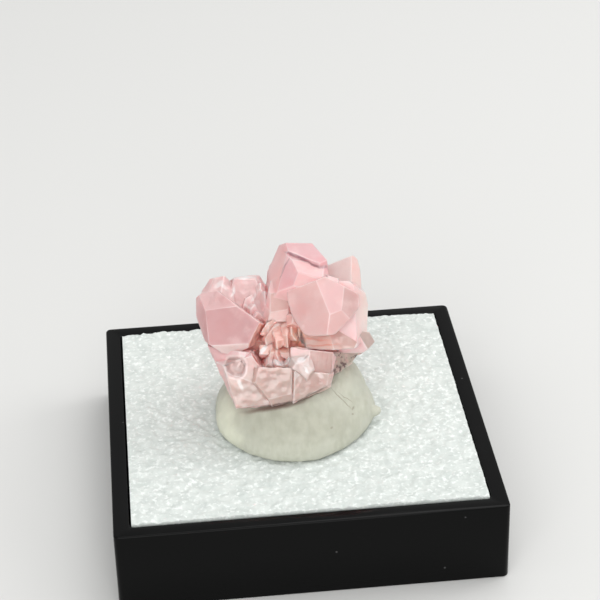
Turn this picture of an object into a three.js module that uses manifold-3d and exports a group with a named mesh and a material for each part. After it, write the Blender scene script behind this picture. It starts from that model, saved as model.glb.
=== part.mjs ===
// A thumbnail specimen of cobaltoan calcite: a pink crystal cluster pressed into a pad of mounting putty,
// on the white foam of a small black display box. Millimetres, +Z up, origin under the box's middle.
import * as THREE from 'three';
import { ConvexGeometry } from 'three/addons/geometries/ConvexGeometry.js';
import { mergeVertices } from 'three/addons/utils/BufferGeometryUtils.js';
import Module from 'manifold-3d';

const wasm = await Module();
wasm.setup();

// Box base: a square tray
const BOX_SIDE = 31.75; // a 1 1/4 inch thumbnail box
const BOX_HEIGHT = 7.1;
const BOX_WALL = 1.3;
const BOX_FLOOR = 1.2;
const BOX_CORNER = 0.5; // radius of its upright edges
const CORNER_STEPS = 4;

// Foam: a cut block, a little proud of the rim
const FOAM_GAP = 0.1;
const FOAM_PROUD = 0.15;
const FOAM_TOP = BOX_HEIGHT + FOAM_PROUD;

// Putty: a pressed pad, given by its outline from the middle of its top down to its foot
const PUTTY_PLACE = new THREE.Vector3(-0.12, -1.15, FOAM_TOP + 0.05);
const PUTTY_OUTLINE = [
  [0, 5.0], [2.0, 4.8], [3.5, 4.25], [4.8, 3.5], [5.75, 2.75], [6.35, 2.0], [6.7, 1.3], [6.85, 0.7],
  [6.75, 0.2], [6.45, 0],
];
const PUTTY_SIDES = 44;
const PUTTY_DEPTH = 1.0; // front to back, against side to side
const PUTTY_WAVE = 0.022; // how far its edge wanders, against its radius
const PUTTY_RISE = { at: [2.9, 0.9, 1.4], size: [3.6, 4.4, 3.6] }; // squeezed up under the right side
const PUTTY_NUB = { at: [6.62, -1.35, 0.95], size: [0.75, 0.6, 0.5] };
const SEAT_GROWTH = 1.015; // the hollow in the putty, against the cluster that sits in it

// Cluster: its crystals are laid out face on, x to the right, y up and z out of the face that is shown.
// The face is then tilted until it looks this far above the horizon, turned, and leant to one side.
const FACE_RISE = THREE.MathUtils.degToRad(31.55);
const FACE_TURN = THREE.MathUtils.degToRad(-4.5);
const FACE_LEAN = THREE.MathUtils.degToRad(-1.9);
const FACE_PLACE = new THREE.Vector3(-0.51, 0.5, FOAM_TOP + 7.82);
const SHARP = 63; // degrees from a pointed crystal's length to the way its end faces look
const BLUNT = 46;
const CHIP = { at: [-4.05, -3.1, 5.15], size: [2.2, 2.2, 2.2] }; // a ball that scoops the left front block
const CHIP_SIDES = 56;
const UNEVEN = 0.22; // how far a small crystal's faces stray from even growth

// Turns a closed geometry into a solid that can be joined and cut.
function solid(geometry) {
  const bare = geometry.index ? geometry.toNonIndexed() : geometry.clone();
  bare.deleteAttribute('normal');
  bare.deleteAttribute('uv');
  const merged = mergeVertices(bare, 1e-4);
  return new wasm.Manifold(new wasm.Mesh({
    numProp: 3,
    vertProperties: merged.attributes.position.array,
    triVerts: new Uint32Array(merged.index.array),
  }));
}

// Turns a solid back into a geometry.
function geometryOf(body) {
  const mesh = body.getMesh();
  const corners = new Float32Array(mesh.numVert * 3);
  for (let i = 0; i < mesh.numVert; i += 1) {
    const from = i * mesh.numProp;
    corners.set(mesh.vertProperties.subarray(from, from + 3), i * 3);
  }
  const geometry = new THREE.BufferGeometry();
  geometry.setAttribute('position', new THREE.BufferAttribute(corners, 3));
  geometry.setIndex(new THREE.BufferAttribute(new Uint32Array(mesh.triVerts), 1));
  geometry.computeVertexNormals();
  return geometry;
}

// A crystal face: three corners on it, or the way it looks and one point on it. It looks away from the root.
function face(root, points) {
  const given = points.map((p) => new THREE.Vector3(...p));
  const plane = new THREE.Plane();
  if (given.length === 3) plane.setFromCoplanarPoints(...given);
  else plane.setFromNormalAndCoplanarPoint(given[0].normalize(), given[1]);
  if (plane.distanceToPoint(new THREE.Vector3(...root)) > 0) plane.negate();
  return plane;
}

// The convex solid that lies behind all the given faces.
function behind(faces) {
  const cross = (a, b) => new THREE.Vector3().crossVectors(a.normal, b.normal);
  const corners = [];
  for (let i = 0; i < faces.length; i += 1) {
    for (let j = i + 1; j < faces.length; j += 1) {
      for (let k = j + 1; k < faces.length; k += 1) {
        const [p, q, r] = [faces[i], faces[j], faces[k]];
        const scale = p.normal.dot(cross(q, r));
        if (Math.abs(scale) < 1e-3) continue;
        const corner = cross(q, r).multiplyScalar(-p.constant)
          .addScaledVector(cross(r, p), -q.constant)
          .addScaledVector(cross(p, q), -r.constant)
          .divideScalar(scale);
        if (faces.every((f) => f.distanceToPoint(corner) < 1e-5)) corners.push(corner);
      }
    }
  }
  return new ConvexGeometry(corners);
}

// A crystal: the cube of half-width reach about its root, cut by the faces that it shows.
function crystal(root, reach, shown) {
  const sides = [[1, 0, 0], [0, 1, 0], [0, 0, 1], [-1, 0, 0], [0, -1, 0], [0, 0, -1]];
  const cube = sides.map((s) => face(root, [s, root.map((v, axis) => v + s[axis] * reach)]));
  return solid(behind([...cube, ...shown.map((points) => face(root, points))]));
}

// A small six-sided crystal from root to tip, closed by three end faces.
function prism(root, tip, radius, spin, endSlope = SHARP) {
  const start = new THREE.Vector3(...root);
  const axis = new THREE.Vector3(...tip).sub(start).normalize();
  const across = new THREE.Vector3(0.31, 0.94, 0.12).cross(axis).normalize();
  const middle = start.clone().lerp(new THREE.Vector3(...tip), 0.5).toArray();
  const around = (degrees) => across.clone().applyAxisAngle(axis, THREE.MathUtils.degToRad(degrees + spin));
  const faces = [face(middle, [axis.toArray(), root])];
  for (let degrees = 0; degrees < 360; degrees += 60) {
    const out = around(degrees);
    const far = radius * (1 + UNEVEN * Math.sin(0.043 * degrees + spin));
    faces.push(face(middle, [out.toArray(), start.clone().addScaledVector(out, far).toArray()]));
  }
  for (let degrees = 30; degrees < 390; degrees += 120) {
    const slope = THREE.MathUtils.degToRad(endSlope * (1 + UNEVEN * Math.sin(0.031 * degrees + 2 * spin)));
    const out = around(degrees).multiplyScalar(Math.sin(slope)).addScaledVector(axis, Math.cos(slope));
    faces.push(face(middle, [out.toArray(), tip]));
  }
  return solid(behind(faces));
}

// A point given upright (right, back, up), in the face-on layout.
function upright(point) {
  const across = new THREE.Vector3(1, 0, 0);
  const outward = new THREE.Vector3(0, 0, 1);
  return new THREE.Vector3(...point)
    .applyAxisAngle(across, FACE_RISE - Math.PI / 2)
    .applyAxisAngle(outward, -FACE_LEAN)
    .toArray();
}

// Ways to look, in the face-on layout
const UP = upright([0, 0, 1]);
const BACK = upright([0, 1, 0]);
const FRONT = upright([0, -1, 0]);

// The upper crystals
const UPPER = [
  // Peak: the flat-topped crystal that stands highest
  crystal([1.2, 4.6, -2.2], 3.2, [
    [[0.08, 0.80, 0.60], [2.3, 7.4, -1.4]],
    [[0, 1, -0.15], [0, 7.4, -1.2]],
    [[-0.83, 0.34, 0.44], [0.27, 6.67, -0.16]],
    [[-0.80, 0.375, -0.49], [-0.46, 7.4, -2.1]],
    [[0.886, 0.238, -0.40], [2.3, 7.4, -1.4]],
    [[-0.5, -0.4, 0.77], [0.27, 6.67, -0.16]],
    [[0.62, -0.15, 0.77], [2.8, 5.62, 1.0]],
    [[0.15, 0.75, -0.65], [1, 7.4, -2.3]],
    [[0.30, 0.30, -0.90], [1, 5.0, -4.4]],
  ]),
  // Step under the peak's top
  crystal([1.4, 4.2, -1.2], 2.8, [
    [[0.50, 5.99, 0.25], [2.73, 5.44, 0.6], [1.1, 4.8, 1.15]],
    [[1.1, 4.8, 1.15], [2.97, 4.53, 1.45], [0.82, 3.45, 1.5]],
    [[0.27, 5.4, 0.35], [1.1, 4.8, 1.15], [0.19, 3.7, 1.1]],
    [[-0.83, 0.34, 0.44], [0.27, 6.67, -0.16]],
    [[0.886, 0.238, -0.40], [2.3, 7.2, -1.5]],
    [[0.85, 0.20, 0.45], [3.2, 5.08, 0.9]],
    [[0.95, 0.30, 0], [3.5, 5.3, 0]],
    [[0.08, 0.80, 0.60], [2.3, 7.1, -1.5]],
    [[-0.25, -0.38, 0.89], [0.45, 3.5, 1.25]],
    [[0, -1, 0], [0.5, 1.9, 0]],
    [BACK, [1, 5.5, -2.4]],
  ]),
  // Great right-hand crystal
  crystal([3.6, 1.9, 0.3], 3.4, [
    [[0.82, 3.45, 1.5], [2.85, 3.45, 2.45], [3.71, 1.29, 3.05]],
    [[2.85, 3.45, 2.45], [4.85, 3.04, 2.35], [3.71, 1.29, 3.05]],
    [[4.85, 3.04, 2.35], [4.68, 1.66, 2.82], [6.11, 2.76, 1.75]],
    [[3.71, 1.29, 3.05], [4.68, 1.66, 2.82], [4.04, -0.34, 2.95]],
    [[3.34, 4.47, 1.9], [0.82, 3.45, 1.5], [2.08, 4.1, -1.0]],
    [[3.34, 4.47, 1.9], [5.87, 3.13, 1.85], [4.6, 3.95, -1.0]],
    [[0.97, -0.10, 0.05], [6.19, 2.5, 1.7]],
    [[0.68, -0.70, -0.15], [5.19, 0.69, 2.8]],
    [[0.10, -0.97, -0.20], [3.4, -0.45, 3.0]],
    [[-0.22, -0.97, -0.20], [1.66, -0.36, 2.3]],
    [[-0.83, -0.56, -0.10], [1.17, 0.36, 1.9]],
    [[-0.95, -0.30, 0], [0.25, 2.3, 1.3]],
  ]),
  // Small crystal on its upper edge
  crystal([4.0, 4.0, 1.2], 0.9, [
    [[3.5, 4.55, 1.75], [4.48, 4.23, 1.8], [3.66, 4.10, 2.15]],
    [[0.30, 0.95, 0], [4.0, 4.42, 1.5]],
    [[0.95, 0.20, 0.10], [4.5, 4.0, 1.6]],
    [[-0.90, 0.30, 0.10], [3.5, 4.4, 1.6]],
  ]),
  // Pale crystal at the upper right
  crystal([5.0, 3.4, -2.2], 3.1, [
    [[3.62, 5.61, -2.4], [5.66, 6.38, -2.0], [5.6, 3.6, -0.6]],
    [[5.66, 6.38, -2.0], [5.6, 3.6, -0.6], [6.41, 5.29, -2.2]],
    [[-0.35, 0.93, -0.10], [5.0, 6.1, -2.0]],
    [[0.60, 0.80, 0], [5.95, 6.28, -2.0]],
    [[0.96, 0.25, -0.05], [6.3, 5.7, -2.0]],
    [[1, 0.05, 0], [6.45, 4.5, -2.0]],
    [[-0.80, 0.20, 0.10], [3.3, 5.0, -2.0]],
    [[0.35, 0.50, -0.80], [5.5, 6.1, -2.7]],
    [[0.70, -0.10, -0.70], [6.0, 3.5, -3.4]],
  ]),
  // Pale crystal behind the great one's right edge
  crystal([5.0, 1.5, -1.0], 2.6, [
    [[0.75, 0.05, 0.66], [6.5, 2.0, 0.85]],
    [[0.98, 0.20, -0.05], [6.83, 2.8, 0]],
    [[1, -0.05, 0], [6.97, 1.6, 0]],
    [[0.62, 0.78, 0.10], [6.5, 3.35, 0]],
    [[0.30, 0.20, -0.93], [6.0, 2.0, -2.6]],
  ]),
  // Ledge under it, and the stub at the ledge's end
  crystal([4.0, -0.6, 0.2], 2.9, [
    [[-0.18, 0.36, 0.92], [3.9, -1.0, 2.3]],
    [[0.28, 0.46, 0.84], [3.9, -1.0, 2.3]],
    [[0, -0.97, -0.20], [3.5, -1.65, 2.5]],
    [[0.75, 0.10, 0.65], [6.3, -0.5, 1.2]],
    [[0.93, -0.35, 0], [6.45, -0.5, 0]],
    [[-0.80, -0.30, 0.50], [1.57, -1.2, 2.0]],
  ]),
  prism([4.6, -1.05, -0.1], [7.55, -0.98, 0.6], 0.95, 15, BLUNT),
  // Great left-hand crystal
  crystal([-4.8, 0.4, 0], 3.3, [
    [[-6.15, 3.23, 0.6], [-4.92, 2.35, 1.5], [-6.55, 1.64, 1.9]],
    [[-5.28, 1.56, 2.0], [-6.55, 1.64, 1.9], [-4.0, -1.1, 3.0]],
    [[-0.88, 0.05, 0.47], [-6.65, 1.2, 1.95]],
    [[0.58, 0.81, 0.05], [-4.37, 2.28, 1.5]],
    [[-0.10, 0.98, -0.15], [-6.5, 3.2, 0.6]],
    [[-1, -0.02, 0], [-7.48, 1.9, 0]],
    [[-0.62, 0.78, 0], [-7.25, 2.9, 0]],
    [[-0.93, -0.36, 0], [-7.1, 0.2, 0]],
    [[-0.55, -0.83, 0], [-6.2, -1.25, 0]],
    [[0, -0.55, 0.83], [-4.4, -1.3, 2.95]],
    [[-0.12, -0.99, 0], [-4.9, -1.95, 0]],
    [[0.42, -0.90, 0], [-3.3, -1.6, 0]],
    [[0.90, -0.38, 0.22], [-2.3, 0.0, 2.2]],
  ]),
  // Glassy crystals along the upper left
  crystal([-5.6, 2.6, -1.6], 2.2, [
    [[-6.2, 4.3, -1.4], [-5.2, 4.61, -1.8], [-5.7, 3.0, 0.2]],
    [[-5.2, 4.61, -1.8], [-4.56, 3.98, -1.4], [-4.9, 2.6, 0.4]],
    [[-7.06, 3.23, -0.5], [-6.43, 4.26, -1.6], [-6.23, 3.3, 0]],
    [[-0.85, 0.53, 0], [-6.75, 3.75, 0]],
    [[-0.20, 0.98, -0.10], [-5.9, 4.46, -1.5]],
    [[0.70, 0.71, 0], [-4.85, 4.3, -1.5]],
    [[0.98, 0.10, 0], [-4.4, 3.5, 0]],
    [[-1, 0, 0], [-7.05, 2.0, 0]],
    [[-0.25, 0.68, -0.68], [-5.5, 4.5, -2.6]],
    [[-0.60, 0, -0.80], [-6.2, 2.0, -2.9]],
  ]),
  crystal([-3.3, 2.6, -2.0], 2.1, [
    [[0, 0.35, 0.94], [-3.4, 3.6, -0.8]],
    [[0, 0.85, 0.50], [-3.3, 4.38, -1.2]],
    [[-0.90, 0.30, 0.20], [-4.45, 4.1, -1.2]],
    [[0.85, 0.40, 0.30], [-2.45, 4.3, -1.2]],
    [[-0.15, 0.98, -0.10], [-3.37, 4.55, -1.5]],
    [[0.15, 0.62, -0.78], [-3.3, 4.5, -2.7]],
  ]),
  prism([-3.4, 1.2, -1.2], [-2.75, 3.0, 0.2], 0.62, 10),
  prism([-3.0, 0.6, -0.8], [-2.5, 2.15, 0.9], 0.5, 35),
  prism([-2.6, 0.2, -0.6], [-2.2, 1.55, 1.1], 0.42, 50),
  // Slender crystals beside the peak
  prism([-2.0, 0.2, -1.6], [-2.1, 4.0, -0.6], 0.46, 20),
  prism([-1.6, 0.0, -1.2], [-1.75, 3.3, 0.2], 0.46, 0),
  // Column under the peak
  crystal([-0.6, 2.2, -1.0], 1.95, [
    [[-0.05, 0.30, 0.95], [-0.5, 1.6, 0.95]],
    [[-0.75, 0.20, 0.62], [-1.25, 2.0, 0.75]],
    [[0.80, 0.10, 0.60], [0.33, 2.0, 0.8]],
    [[0, -0.97, -0.20], [-0.5, 0.66, 1.2]],
    [[-0.97, 0.20, 0], [-1.83, 1.2, 0]],
    [[-0.10, 0.75, 0.65], [-0.6, 3.1, 0.5]],
  ]),
];

// The blocks along the lower front, with the rock behind them
const FOOT = [
  crystal([-1.0, -4.4, 1.3], 2.7, [
    [[0.04, -0.22, 0.97], [-0.9, -4.2, 3.6]],
    [[0, 0.99, -0.10], [-0.9, -3.13, 3.6]],
    [[0.90, -0.08, 0.42], [0.55, -4.0, 3.55]],
    [[-0.88, 0.10, 0.45], [-2.42, -3.8, 3.5]],
    [[-0.66, -0.62, 0.40], [-2.0, -4.95, 3.35]],
    [[0.12, -0.55, 0.82], [-0.6, -5.5, 3.3]],
    [[1, 0, 0], [1.2, 0, 0]],
  ]),
  crystal([1.9, -4.4, 1.0], 2.6, [
    [[0.22, -0.22, 0.95], [2.0, -4.4, 3.25]],
    [[-0.92, -0.05, 0.38], [0.72, -4.4, 3.4]],
    [[0.10, 0.97, 0.10], [2.4, -3.5, 3.2]],
    [[0.88, -0.20, 0.40], [3.62, -4.0, 2.8]],
    [[0.45, -0.80, 0.38], [2.6, -5.1, 2.8]],
    [[0.97, -0.2, 0], [3.85, -4.4, 0]],
  ]),
  crystal([2.9, -2.8, 0.8], 2.4, [
    [[0.30, 0, 0.95], [3.0, -2.6, 2.9]],
    [[0.93, -0.06, 0.36], [3.98, -2.6, 2.5]],
    [[0.10, 0.98, 0], [3.0, -1.75, 2.0]],
    [[0.75, 0.66, 0], [4.05, -2.0, 1.9]],
    [[0.95, -0.25, 0], [4.2, -2.4, 0]],
    [[0.10, -0.97, 0.10], [3.0, -4.0, 2.8]],
  ]),
  // White-tipped crystal
  crystal([1.3, -2.9, 1.8], 2.2, [
    [[0.25, 0.62, 0.74], [1.35, -2.1, 3.4]],
    [[-0.12, 0.80, 0.59], [1.0, -2.5, 3.65]],
    [[0.06, -0.15, 0.98], [1.4, -3.0, 3.95]],
    [[0.72, 0.42, 0.55], [2.05, -2.4, 3.3]],
    [[0.76, -0.55, 0.34], [2.3, -3.4, 3.6]],
    [[-0.70, 0.40, 0.58], [0.6, -2.4, 3.4]],
    [[-0.55, -0.80, 0.25], [1.2, -3.6, 3.7]],
    [[0.05, 0.99, 0], [1.2, -1.47, 2.4]],
    [[0.95, 0.31, 0], [2.1, -2.2, 0]],
    [[-0.95, 0.31, 0], [0.45, -2.5, 0]],
  ]),
  crystal([-3.2, -4.4, 0.4], 2.7, [
    [[-0.08, -0.20, 0.97], [-3.2, -4.6, 3.0]],
    [[-0.85, -0.32, 0.43], [-4.42, -5.2, 2.7]],
    [[0.05, -0.80, 0.60], [-3.0, -6.3, 2.7]],
    [[-0.30, 0.85, 0.43], [-3.6, -2.3, 2.8]],
    [[0.80, 0.55, 0.20], [-2.35, -2.7, 3.0]],
  ]),
  crystal([-4.6, -3.2, 0], 3.0, [
    [[-0.45, -0.15, 0.88], [-4.6, -3.0, 2.4]],
    [[0.10, 0.97, 0.10], [-5.0, -1.55, 2.0]],
    [[0.80, -0.30, 0.52], [-3.5, -3.2, 2.7]],
    [[0.97, 0, 0], [-2.6, -3.2, 0]],
  ]),
  // Grey rock at the right and in the middle
  crystal([4.0, -2.6, -1.0], 2.2, [
    [[0.60, -0.20, 0.77], [5.0, -2.5, 0.3]],
    [[0.10, 0.97, 0.10], [5.2, -1.84, 0]],
    [[0.30, -0.30, 0.90], [4.2, -3.4, 0.9]],
  ]),
  crystal([0, -1.5, -2.0], 4.4, [
    [FRONT, [-0.5, -1.3, 0.7]],
    [UP, [0, 0, -0.4]],
    [BACK, [0, 0, -5.2]],
    [[-0.90, -0.10, -0.30], [-4.2, -1.5, -2.0]],
    [[0.90, -0.20, -0.30], [4.6, -1.0, -2.0]],
    [[-0.70, 0.20, -0.70], [-2.6, 0, -4.0]],
    [[0.70, 0.20, -0.70], [2.9, 0, -4.0]],
  ]),
];

// The small crystals in the pocket: a fan that spreads downwards, a lower row, a row at the lip, and three above
const FAN_ROOT = [-0.2, 1.1, -0.7];
const LOWER_ROOT = [-0.6, -1.0, -0.6];
const POCKET = [
  prism(FAN_ROOT, [-2.1, -0.4, 1.5], 0.62, 5),
  prism(FAN_ROOT, [-1.55, -1.3, 1.9], 0.6, 25),
  prism(FAN_ROOT, [-0.65, -1.6, 2.1], 0.62, 40),
  prism(FAN_ROOT, [0.25, -1.5, 2.1], 0.6, 10),
  prism(FAN_ROOT, [0.95, -0.9, 1.85], 0.58, 50),
  prism(LOWER_ROOT, [-2.15, -2.0, 2.4], 0.55, 45),
  prism(LOWER_ROOT, [-1.35, -2.6, 2.65], 0.55, 20),
  prism(LOWER_ROOT, [-0.4, -2.75, 2.75], 0.55, 35),
  prism(LOWER_ROOT, [0.4, -2.45, 2.6], 0.52, 0),
  prism([-1.35, -2.9, 0.8], [-1.4, -2.75, 3.15], 0.5, 20),
  prism([-0.6, -3.0, 0.8], [-0.65, -2.85, 3.4], 0.48, 45),
  prism([0.1, -2.9, 0.8], [0.15, -2.75, 3.2], 0.46, 5),
  prism([0.7, 0.9, -0.6], [0.62, 0.55, 1.75], 0.62, 15, BLUNT),
  prism([1.3, -0.4, -0.4], [1.4, -0.9, 1.8], 0.50, 0),
  prism([-1.6, 0.5, -0.6], [-1.5, 0.25, 1.3], 0.55, 30),
];

// The crystals at the back and sides, given upright
const REAR = [
  [[0, 1, -1.5], [0.6, 6.0, -0.4], 1.9, 10],
  [[-2, 1, -1], [-4.2, 5.0, 0.1], 1.7, 35],
  [[2.5, 1, -0.5], [5.0, 5.0, 0.3], 1.6, 20],
  [[-3.2, 0.4, -1], [-5.7, 2.8, -0.9], 1.4, 15],
  [[4, 0, 0], [6.4, 2.6, 0.7], 1.3, 50],
  [[0.6, 2, 0.6], [-0.3, 5.9, 2.2], 1.4, 0],
  [[2, 2, 0.2], [3.4, 5.4, 1.3], 1.3, 30],
  [[-1, 1, -2], [-2.4, 5.4, -2.6], 1.5, 25],
  [[2, 1, -2], [3.0, 5.2, -2.0], 1.4, 5],
  [[-3, 1, 0], [-2.6, 4.6, 1.6], 1.1, 40],
].map(([root, tip, radius, spin]) => prism(upright(root), upright(tip), radius, spin, BLUNT));

// Keeps what lies behind the faces.
function trim(body, cuts) {
  return cuts.reduce((rest, points) => {
    const plane = face([0, 0, 0], points);
    return rest.trimByPlane(plane.normal.clone().negate().toArray(), plane.constant);
  }, body);
}

const join = (bodies) => bodies.reduce((sum, next) => sum.add(next));

// The largest skin of a body, with any sealed hollow filled.
function whole(body) {
  return body.decompose().sort((a, b) => b.volume() - a.volume())[0];
}

// A round lump with this many sides.
function lump({ at, size }, sides = 20) {
  const ball = new THREE.SphereGeometry(1, sides, Math.round(sides * 0.6));
  return solid(ball.scale(...size).translate(...at));
}

const foot = trim(join(FOOT).subtract(lump(CHIP, CHIP_SIDES)), [
  [[-0.905, -0.426, 0], [-4.81, -4.82, 0]],
  [[0.78, -0.62, 0], [5.3, -3.15, 0]],
]);
// The underside is level at the left and climbs to the right.
const clusterBody = whole(trim(join([foot, ...UPPER, ...POCKET, ...REAR]), [
  [[0.20, -0.84, -0.50], [-1.95, -6.65, 3.0]],
  [UP, [-3.0, -6.55, 2.6]],
]));

const facePlace = new THREE.Matrix4()
  .makeRotationFromEuler(new THREE.Euler(Math.PI / 2 - FACE_RISE, 0, FACE_TURN, 'ZXY'))
  .multiply(new THREE.Matrix4().makeRotationZ(FACE_LEAN))
  .setPosition(FACE_PLACE);
const seatPlace = facePlace.clone().scale(new THREE.Vector3(SEAT_GROWTH, SEAT_GROWTH, SEAT_GROWTH));
const clusterGeometry = geometryOf(clusterBody).applyMatrix4(facePlace);
const seat = solid(geometryOf(clusterBody).applyMatrix4(seatPlace));

// The putty pad: a turned shape with a wandering edge.
function puttyPad() {
  const outline = PUTTY_OUTLINE.map(([radius, height]) => new THREE.Vector2(radius, height)).reverse();
  outline.unshift(new THREE.Vector2(0, 0));
  const pad = new THREE.LatheGeometry(outline, PUTTY_SIDES).rotateX(Math.PI / 2);
  const place = pad.attributes.position;
  for (let i = 0; i < place.count; i += 1) {
    const angle = Math.atan2(place.getY(i), place.getX(i));
    const wave = 1 + PUTTY_WAVE * (Math.sin(3 * angle + 0.6) + 0.6 * Math.sin(5 * angle + 2.1));
    place.setXY(i, place.getX(i) * wave, place.getY(i) * wave * PUTTY_DEPTH);
  }
  return solid(pad);
}

const puttyUncut = puttyPad().add(lump(PUTTY_RISE)).add(lump(PUTTY_NUB));
const puttyFloor = puttyUncut.trimByPlane([0, 0, 1], 0);
const puttyBody = whole(puttyFloor.translate(PUTTY_PLACE.toArray()).subtract(seat));

// A square block with rounded upright edges, standing on the given height.
function block(side, from, to, corner) {
  const half = side / 2 - corner;
  const outline = new THREE.Shape();
  outline.absarc(half, half, corner, 0, Math.PI / 2);
  outline.absarc(-half, half, corner, Math.PI / 2, Math.PI);
  outline.absarc(-half, -half, corner, Math.PI, Math.PI * 1.5);
  outline.absarc(half, -half, corner, Math.PI * 1.5, Math.PI * 2);
  const options = { depth: to - from, bevelEnabled: false, curveSegments: CORNER_STEPS };
  return solid(new THREE.ExtrudeGeometry(outline, options).translate(0, 0, from));
}

const wellSide = BOX_SIDE - 2 * BOX_WALL;
const boxBody = block(BOX_SIDE, 0, BOX_HEIGHT, BOX_CORNER)
  .subtract(block(wellSide, BOX_FLOOR, BOX_HEIGHT + 1, BOX_CORNER));
const foamBody = block(wellSide - 2 * FOAM_GAP, BOX_FLOOR + FOAM_GAP, FOAM_TOP, BOX_CORNER);

const specimen = new THREE.Group();

// Adds one named piece with its own material.
function piece(name, geometry, color, roughness) {
  const mesh = new THREE.Mesh(geometry, new THREE.MeshStandardMaterial({ color, roughness, metalness: 0 }));
  mesh.name = name;
  specimen.add(mesh);
}

piece('box_base', geometryOf(boxBody), 0x0b0b0c, 0.12);
piece('foam_insert', geometryOf(foamBody), 0xeef0ee, 0.95);
piece('mounting_putty', geometryOf(puttyBody), 0xcdccbb, 0.7);
piece('calcite_cluster', clusterGeometry, 0xe8b0b4, 0.12);

export default specimen;
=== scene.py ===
# %% [markdown]
# # A pink calcite specimen in its display box
# Collectors keep a small mineral like this one in a thumbnail box. The crystals are pressed into a pad of
# putty, the putty sits on a block of white foam, and the foam fills the black plastic base of the box.
# The measured solids come first, in metres. Every piece made below takes its place and size from them.

# %% Load the measured solids
import math

import bpy
from mathutils import Matrix, Vector


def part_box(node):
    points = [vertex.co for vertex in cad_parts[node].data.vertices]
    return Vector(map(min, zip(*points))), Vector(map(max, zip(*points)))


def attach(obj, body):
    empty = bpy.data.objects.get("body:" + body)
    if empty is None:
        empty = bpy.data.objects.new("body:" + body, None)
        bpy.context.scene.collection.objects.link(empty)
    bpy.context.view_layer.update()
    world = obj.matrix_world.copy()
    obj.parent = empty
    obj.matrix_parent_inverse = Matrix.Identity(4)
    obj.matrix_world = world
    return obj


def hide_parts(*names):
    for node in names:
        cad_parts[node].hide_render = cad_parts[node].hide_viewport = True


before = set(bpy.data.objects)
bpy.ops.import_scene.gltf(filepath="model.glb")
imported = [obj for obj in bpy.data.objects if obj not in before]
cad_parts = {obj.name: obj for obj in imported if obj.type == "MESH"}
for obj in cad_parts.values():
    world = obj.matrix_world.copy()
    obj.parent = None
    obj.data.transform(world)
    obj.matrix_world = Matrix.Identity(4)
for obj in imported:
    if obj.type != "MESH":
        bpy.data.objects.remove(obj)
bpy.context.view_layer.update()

MM = 0.001
print("solids:", sorted(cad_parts))

# %% [markdown]
# ## Working one piece at a time
# An operator in Blender acts on everything that is selected, and loading leaves all the solids selected.
# These three helpers do what a modeller does by hand: pick up one piece, use a modifier and apply it at once,
# and read off how many triangles the piece has.

# %% Helpers for picking up and shaping a piece
def pick_up(piece):
    """Selects one piece alone and makes it the active one."""
    bpy.ops.object.select_all(action="DESELECT")
    piece.select_set(True)
    bpy.context.view_layer.objects.active = piece


def shape_with(piece, kind, **settings):
    """Adds a modifier of one kind, sets it and applies it."""
    pick_up(piece)
    modifier = piece.modifiers.new(kind.title(), kind)
    for name, value in settings.items():
        setattr(modifier, name, value)
    bpy.ops.object.modifier_apply(modifier=modifier.name)


def count(piece):
    """Prints a piece's number of triangles."""
    piece.data.calc_loop_triangles()
    print(piece.name, len(piece.data.loop_triangles), "triangles")


# %% [markdown]
# ## The black box base
# The base is a moulded polystyrene tray. It could be cut from the solid's copy, but a tray is a good first
# exercise in box modelling: a cube at its size, its top inset by the wall and pushed down to the floor, its
# upright corners rounded. A small bevel on every edge then catches the light as a moulded edge does.

# %% The box: a cube, its top inset and pushed down
low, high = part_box("box_base")
size = high - low
WALL = 1.3 * MM
WELL_FLOOR = 1.2 * MM
CORNER = 0.5 * MM
EDGE = 0.12 * MM
SHARP = math.radians(40)

bpy.ops.object.select_all(action="DESELECT")
bpy.ops.mesh.primitive_cube_add(size=1, location=(low + high) / 2, scale=size)
box = bpy.context.object
box.name = "black_box_base"
bpy.ops.object.transform_apply(location=True, rotation=True, scale=True)


def pick_edges(piece, wanted):
    """Selects, in edit mode, the edges whose two ends pass the test."""
    bpy.ops.mesh.select_mode(type="EDGE")
    bpy.ops.mesh.select_all(action="DESELECT")
    bpy.ops.object.mode_set(mode="OBJECT")
    corners = piece.data.vertices
    for edge in piece.data.edges:
        edge.select = wanted(corners[edge.vertices[0]].co, corners[edge.vertices[1]].co)
    bpy.ops.object.mode_set(mode="EDIT")


def pick_faces(piece, wanted):
    """Selects, in edit mode, the faces that pass the test."""
    bpy.ops.mesh.select_mode(type="FACE")
    bpy.ops.mesh.select_all(action="DESELECT")
    bpy.ops.object.mode_set(mode="OBJECT")
    for face in piece.data.polygons:
        face.select = wanted(face)
    bpy.ops.object.mode_set(mode="EDIT")


bpy.ops.object.mode_set(mode="EDIT")
pick_faces(box, lambda face: face.normal.z > 0.9)
bpy.ops.mesh.inset(thickness=WALL)
bpy.ops.mesh.extrude_region_move(TRANSFORM_OT_translate={"value": (0, 0, WELL_FLOOR - size.z)})
bpy.ops.object.mode_set(mode="OBJECT")
print("box with its well:", len(box.data.polygons), "faces")

# %% The box: round the upright corners, soften the edges
bpy.ops.object.mode_set(mode="EDIT")
pick_edges(box, lambda a, b: abs(a.z - b.z) > size.z / 2)
bpy.ops.mesh.bevel(offset=CORNER, segments=5, affect="EDGES")
bpy.ops.object.mode_set(mode="OBJECT")
shape_with(box, "BEVEL", width=EDGE, segments=3, limit_method="ANGLE", angle_limit=SHARP)
bpy.ops.object.shade_smooth_by_angle(angle=math.radians(35))
count(box)

# %% [markdown]
# ## The white foam
# The foam is a torn-surfaced white block: from a step away it looks like packed snow, with tufts about half
# a millimetre across. A bump map would leave its far edge straight, and the photograph shows a ragged one, so
# the roughness is real: a fine grid, its rim drawn down to make a block, its top lifted by three sizes of
# noise.

# %% The foam: a grid drawn down into a block
low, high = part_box("foam_insert")
FOAM_CLEARANCE = 0.075 * MM
foam_width = high.x - low.x - 2 * FOAM_CLEARANCE
FOAM_STEPS = 236

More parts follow.
